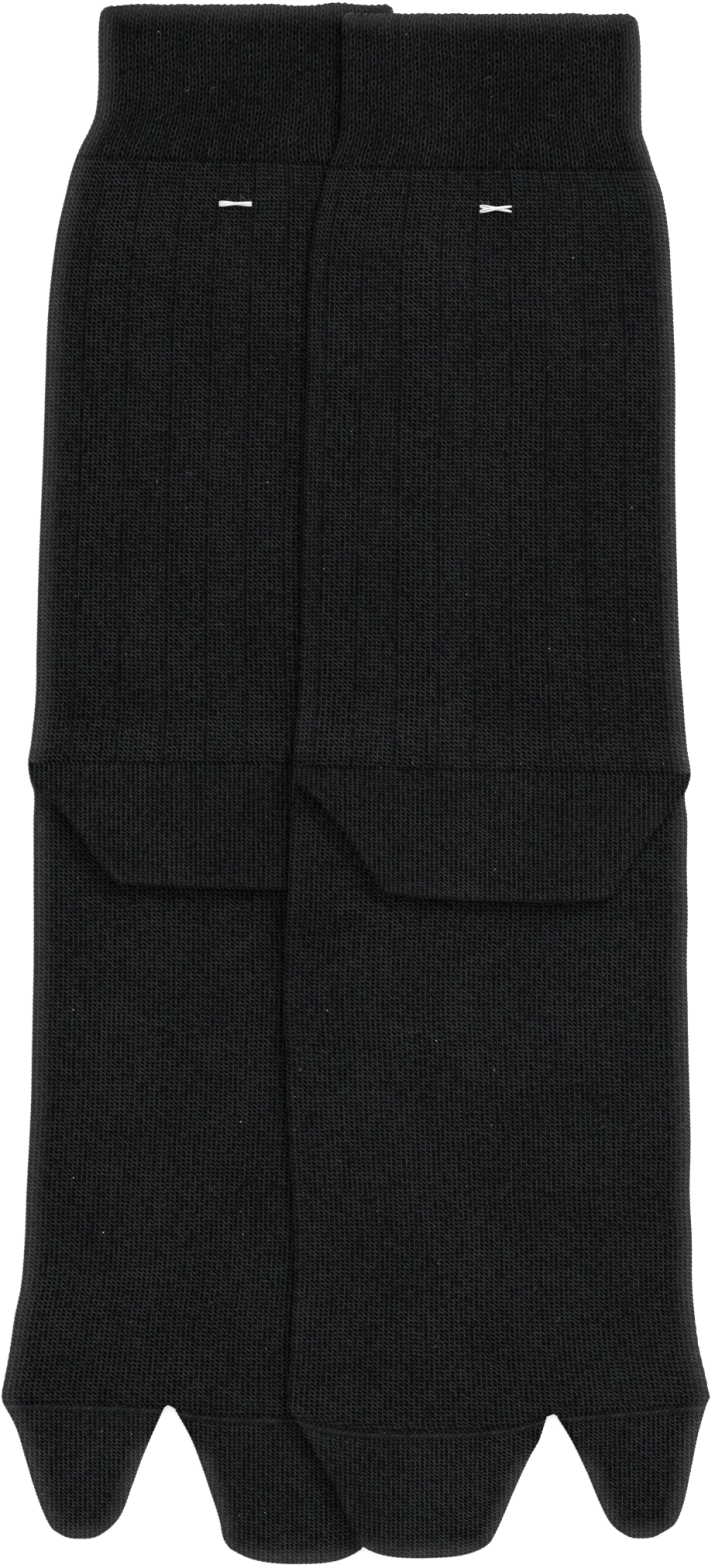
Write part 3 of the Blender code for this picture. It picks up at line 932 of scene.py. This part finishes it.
def make_sock(side, body, seams, heel, big_toe, toes, base, seed, sheen_levels, ribs):
    """One sock's six pieces. The sheen levels say how strong the painted sheen along its folds
    is, and ribs gives its leg's purl lines as shares of the width."""

    def on_foot(x, y):
        return base(x, y) + FLAP

    mouths = (toes[0], big_toe[0])
    cuff_line = across_line(body, seams["cuff"])
    heel_line = across_line(body, seams["heel"])
    made = {}
    rows = body_rows(body, seams["top"], seams["cuff"], ROW_STEP["cuff"])
    knit = Knit(GAUGE["cuff"], CUFF_WALES, sheen_levels=(sheen_levels[0], sheen_levels[1], 0.9), seams=[cuff_line],
                scallop=0.16, sway=0.7)
    made["cuff"] = knit_shell(
        side + "_cuff_knit", rows, base, knit, plain_relief(seed), spacing=CUFF_SPACING
    )
    rows = body_rows(body, seams["cuff"], seams["heel"], ROW_STEP["body"])
    halves = []
    for row in rows:
        above = (row[1] + row[3]) / 2 - seams["heel"]
        halves.append((FLAT + FLAP * (1 - ease(above / HEEL_OPENING))) / 2)
    knit = Knit(GAUGE["leg"], PLAIN_WALES, ribs, sheen_levels, [cuff_line, heel_line])
    made["leg"] = knit_shell(
        side + "_leg_knit", rows, base, knit, rib_relief(seed + 1), halves
    )
    # The heel pocket's edges get only a faint painted sheen.
    knit = Knit(GAUGE["heel"], sheen_levels=(0.22, 0.22, 0.30), seams=[heel_line], scallop=0.20)
    made["heel"] = knit_shell(
        side + "_heel_knit", pocket_rows(heel, ROW_STEP["heel"]), on_foot, knit,
        plain_relief(seed + 2), tip=True, spacing=POCKET_SPACING,
    )
    bend_from, bend_to = body[-5][0], body[-1][0]
    rows = body_rows(body, seams["heel"], bend_from, ROW_STEP["body"])
    for k in range(1, END_STEPS + 1):
        left, right, _ = Course(body).read(bend_from + (bend_to - bend_from) * k / END_STEPS)
        rows.append((left, bend_from, right, bend_from, 0.0))
    ends = (min(m[0] for m in mouths), max(m[2] for m in mouths))
    rows[-1] = (ends[0], bend_from, ends[1], bend_from, 0.0)

    def foot_end(x):
        return toe_line(mouths, x)

    made["foot"] = knit_shell(
        side + "_foot_knit", rows, base,
        Knit(GAUGE["sole"], PLAIN_WALES, sheen_levels=sheen_levels, seams=[foot_end]),
        plain_relief(seed + 3), end=foot_end, end_rows=END_STEPS,
    )
    toes_at_right = toes[0][0] > big_toe[0][0]
    for label, table in (("big_toe", big_toe), ("toes", toes)):
        faces_notch = 1 if toes_at_right == (label == "big_toe") else 0
        # Each toe pocket gets full painted sheen on its tip and on the side facing the other
        # pocket.
        toe_sheen_levels = [sheen_levels[0], sheen_levels[1], 1.0]
        toe_sheen_levels[faces_notch] = 1.0
        notch = (faces_notch, table[0][1] - 4.0)
        knit = Knit(GAUGE["toe"], sheen_levels=toe_sheen_levels, seams=[mouth_line(table[0])], notch=notch,
                    scallop=0.05, hump=0.14)
        made[label] = knit_shell(
            f"{side}_{label}_knit", pocket_rows(table, ROW_STEP["toe"]), base, knit,
            plain_relief(seed + 4), tip=True, spacing=POCKET_SPACING,
        )
    kinds = {"cuff": "cuff", "leg": "leg", "heel": "heel", "foot": "sole",
             "big_toe": "toe", "toes": "toe"}
    for label, piece in made.items():
        finish_piece(piece, f"{side}_{label}", kinds[label])
    solidify = made["cuff"].modifiers.new("wall", "SOLIDIFY")
    solidify.thickness = CUFF_WALL * MM
    solidify.offset = -1
    return made


under = make_sock(
    "under", UNDER_BODY, UNDER_SEAMS, UNDER_HEEL, UNDER_BIG_TOE, UNDER_TOES, on_surface, 1.0,
    # painted sheen levels for the left fold, the right fold and the end
    (1.0, 1.0, 0.0),
    (0.10, 0.218, 0.34, 0.445, 0.55, 0.652, 0.757, 0.862, 0.95),
)
over = make_sock(
    "over", OVER_BODY, OVER_SEAMS, OVER_HEEL, OVER_BIG_TOE, OVER_TOES, on_lower_sock, 21.0,
    # painted sheen is weaker on the upper sock's left fold, which lies on the lower sock
    (0.22, 1.0, 0.0),
    (0.05, 0.145, 0.252, 0.362, 0.457, 0.553, 0.649, 0.756, 0.863, 0.952),
)


# ---------------------------------------------------------------- thread tacks and lint
TREES = [BVHTree.FromObject(piece, bpy.context.evaluated_depsgraph_get())
         for piece in (*under.values(), *over.values())]


def top_at(x, y):
    """Height of the uppermost cloth at a place, in millimetres; None beside the socks."""
    start = (Vector((x, y, 40.0)) + SHIFT) * MM
    hits = [tree.ray_cast(start, Vector((0, 0, -1)))[0] for tree in TREES]
    heights = [hit.z / MM for hit in hits if hit]
    return max(heights) if heights else None


def thread_material(name, pale, shade):
    material = bpy.data.materials.new(name)
    board = Board(tree_of(material))
    shader = board.tree.nodes["Principled BSDF"]
    shader.inputs["Roughness"].default_value = 0.6
    shader.inputs["Specular IOR Level"].default_value = 0.3
    where = board.add("ShaderNodeTexCoord").outputs["Object"]
    fibre = board.noise(where, 5200.0, 3.0)
    board.feed(shader.inputs["Base Color"], board.mix(board.step(fibre, 0.3, 0.7), shade, pale))
    bump = board.add("ShaderNodeBump")
    bump.inputs["Strength"].default_value = 0.5
    bump.inputs["Distance"].default_value = 0.00006
    board.feed(bump.inputs["Height"], fibre)
    board.feed(shader.inputs["Normal"], bump.outputs["Normal"])
    return material


def threads(name, runs, radius, material):
    """Thin round threads through runs of points in millimetres, as one piece."""
    curve = bpy.data.curves.new(name, "CURVE")
    curve.dimensions = "3D"
    curve.bevel_depth = radius * MM
    curve.bevel_resolution = 2
    curve.use_fill_caps = True
    for run in runs:
        spline = curve.splines.new("POLY")
        spline.points.add(len(run) - 1)
        for point, place in zip(spline.points, run):
            point.co = (*((Vector(place) + SHIFT) * MM), 1)
    curve.materials.append(material)
    piece = bpy.data.objects.new(name, curve)
    bpy.context.scene.collection.objects.link(piece)
    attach(piece, "root")


TACK_STEPS = 40
PLY_OFFSET = 0.12  # of each ply from its strand's middle
STRAND_OFFSET = 0.20  # of each strand from its stitch's middle


def tack_runs(x0, y0, length, spread, seed):
    """Two flat crossing stitches, each of two strands twisted from two plies."""
    runs = []
    for slope in (1, -1):
        for strand in (-1, 1):
            for ply in (0.0, math.pi):
                run = []
                for k in range(TACK_STEPS + 1):
                    t = k / TACK_STEPS * 2 - 1
                    arch = 1 - abs(t) ** 6
                    slack = 0.10 * math.sin(2.2 * t + seed + strand)
                    across = slope * spread * t + strand * STRAND_OFFSET * arch + slack
                    turn = ply + 9.0 * math.pi * t
                    x = x0 + length / 2 * t
                    y = y0 + across + PLY_OFFSET * math.sin(turn)
                    high = (0.30 + 0.16 * (slope + 1) / 2) * arch - 0.15
                    z = top_at(x, y) + high + PLY_OFFSET * math.cos(turn)
                    run.append((x, y, z))
                runs.append(run)
    return runs


WHITE = thread_material("white thread", (0.86, 0.86, 0.84, 1), (0.62, 0.62, 0.61, 1))
LINT = thread_material("pale lint", (0.26, 0.26, 0.25, 1), (0.10, 0.10, 0.10, 1))
# Each tack: side, middle x, middle y, length, how far its stitches spread.
TACKS = (("under", -28.95, 138.5, 7.8, 0.30), ("over", 33.2, 137.3, 7.6, 0.62))
for side, x0, y0, length, spread in TACKS:
    threads(side + "_tack", tack_runs(x0, y0, length, spread, x0), 0.15, WHITE)


LINT_POINTS = 10
LEG_FIBRE = (-39.5, 74.0)  # one more, on the lower sock's leg


def lint_runs(count, seed):
    """Short stray fibres that lie on the cloth, and a few at the ends of each tack."""
    luck = random.Random(seed)
    spots = [(luck.uniform(-80, 80), luck.uniform(-178, 180)) for _ in range(count)]
    spots.append(LEG_FIBRE)
    for _, x0, y0, length, _ in TACKS:
        spots += [(x0 + length * luck.uniform(-0.6, 0.5), y0 + luck.uniform(0.5, 1.3))
                  for _ in range(6)]
    runs = []
    for number, (x0, y0) in enumerate(spots):
        small = number > count
        bend = luck.uniform(-1.6, 1.6) * (1.0 if small else 1.8)
        heading = luck.uniform(0.9, 2.3) if small else luck.uniform(0, math.pi)
        step = luck.uniform(0.10, 0.16) if small else luck.uniform(0.10, 0.24)
        x, y, run = x0, y0, []
        for k in range(LINT_POINTS):
            top = top_at(x, y)
            if top is None:
                break
            run.append((x, y, top + 0.10 + 0.12 * math.sin(math.pi * k / (LINT_POINTS - 1))))
            x += step * math.cos(heading)
            y += step * math.sin(heading)
            heading += bend / (LINT_POINTS - 1)
        if len(run) == LINT_POINTS:
            runs.append(run)
    return runs


threads("stray_lint", lint_runs(26, 5), 0.022, LINT)


# ---------------------------------------------------------------- studio
def make_floor():
    mesh = bmesh.new()
    bmesh.ops.create_circle(mesh, cap_ends=True, radius=3.0, segments=64)
    bmesh.ops.translate(mesh, verts=mesh.verts[:], vec=(0, 0, -0.0002))
    data = bpy.data.meshes.new("studio_floor")
    mesh.to_mesh(data)
    mesh.free()
    floor = bpy.data.objects.new("studio_floor", data)
    bpy.context.scene.collection.objects.link(floor)
    material = bpy.data.materials.new("white floor")
    shader = tree_of(material).nodes["Principled BSDF"]
    shader.inputs["Base Color"].default_value = (0.93, 0.93, 0.93, 1)
    shader.inputs["Roughness"].default_value = 0.9
    shader.inputs["Specular IOR Level"].default_value = 0.1
    shader.inputs["Emission Color"].default_value = (1, 1, 1, 1)
    shader.inputs["Emission Strength"].default_value = 0.55
    data.materials.append(material)


def make_light(name, place, aim, size, watts):
    light = bpy.data.lights.new(name, "AREA")
    light.shape = "DISK"
    light.size = size
    light.energy = watts
    lamp = bpy.data.objects.new(name, light)
    lamp.location = place
    lamp.rotation_euler = (Vector(aim) - Vector(place)).to_track_quat("-Z", "Y").to_euler()
    lamp.visible_camera = False
    bpy.context.scene.collection.objects.link(lamp)


make_floor()
make_light("key", (0.9, 1.5, 1.0), (0, 0, 0), 0.8, 38.0)
world = bpy.data.worlds.new("studio")
bpy.context.scene.world = world
world.use_nodes = True
sky = world.node_tree.nodes["Background"]
sky.inputs["Color"].default_value = (1, 1, 1, 1)
sky.inputs["Strength"].default_value = 0.8
bpy.context.scene.view_settings.view_transform = "Standard"

SENSOR = 36.0  # millimetres
FRAME_HIGH = 0.37426  # what the view takes in, in metres, at DISTANCE
DISTANCE = 4.0  # above the cloth
VIEW_MIDDLE = (0.00019, 0.00028)
camera = bpy.data.cameras.new("camera")
camera.sensor_width = SENSOR
camera.lens = SENSOR * DISTANCE / FRAME_HIGH
camera.clip_end = 20.0
view = bpy.data.objects.new("camera", camera)
view.location = (*VIEW_MIDDLE, DISTANCE + FLAT * MM)
bpy.context.scene.collection.objects.link(view)
bpy.context.scene.camera = view
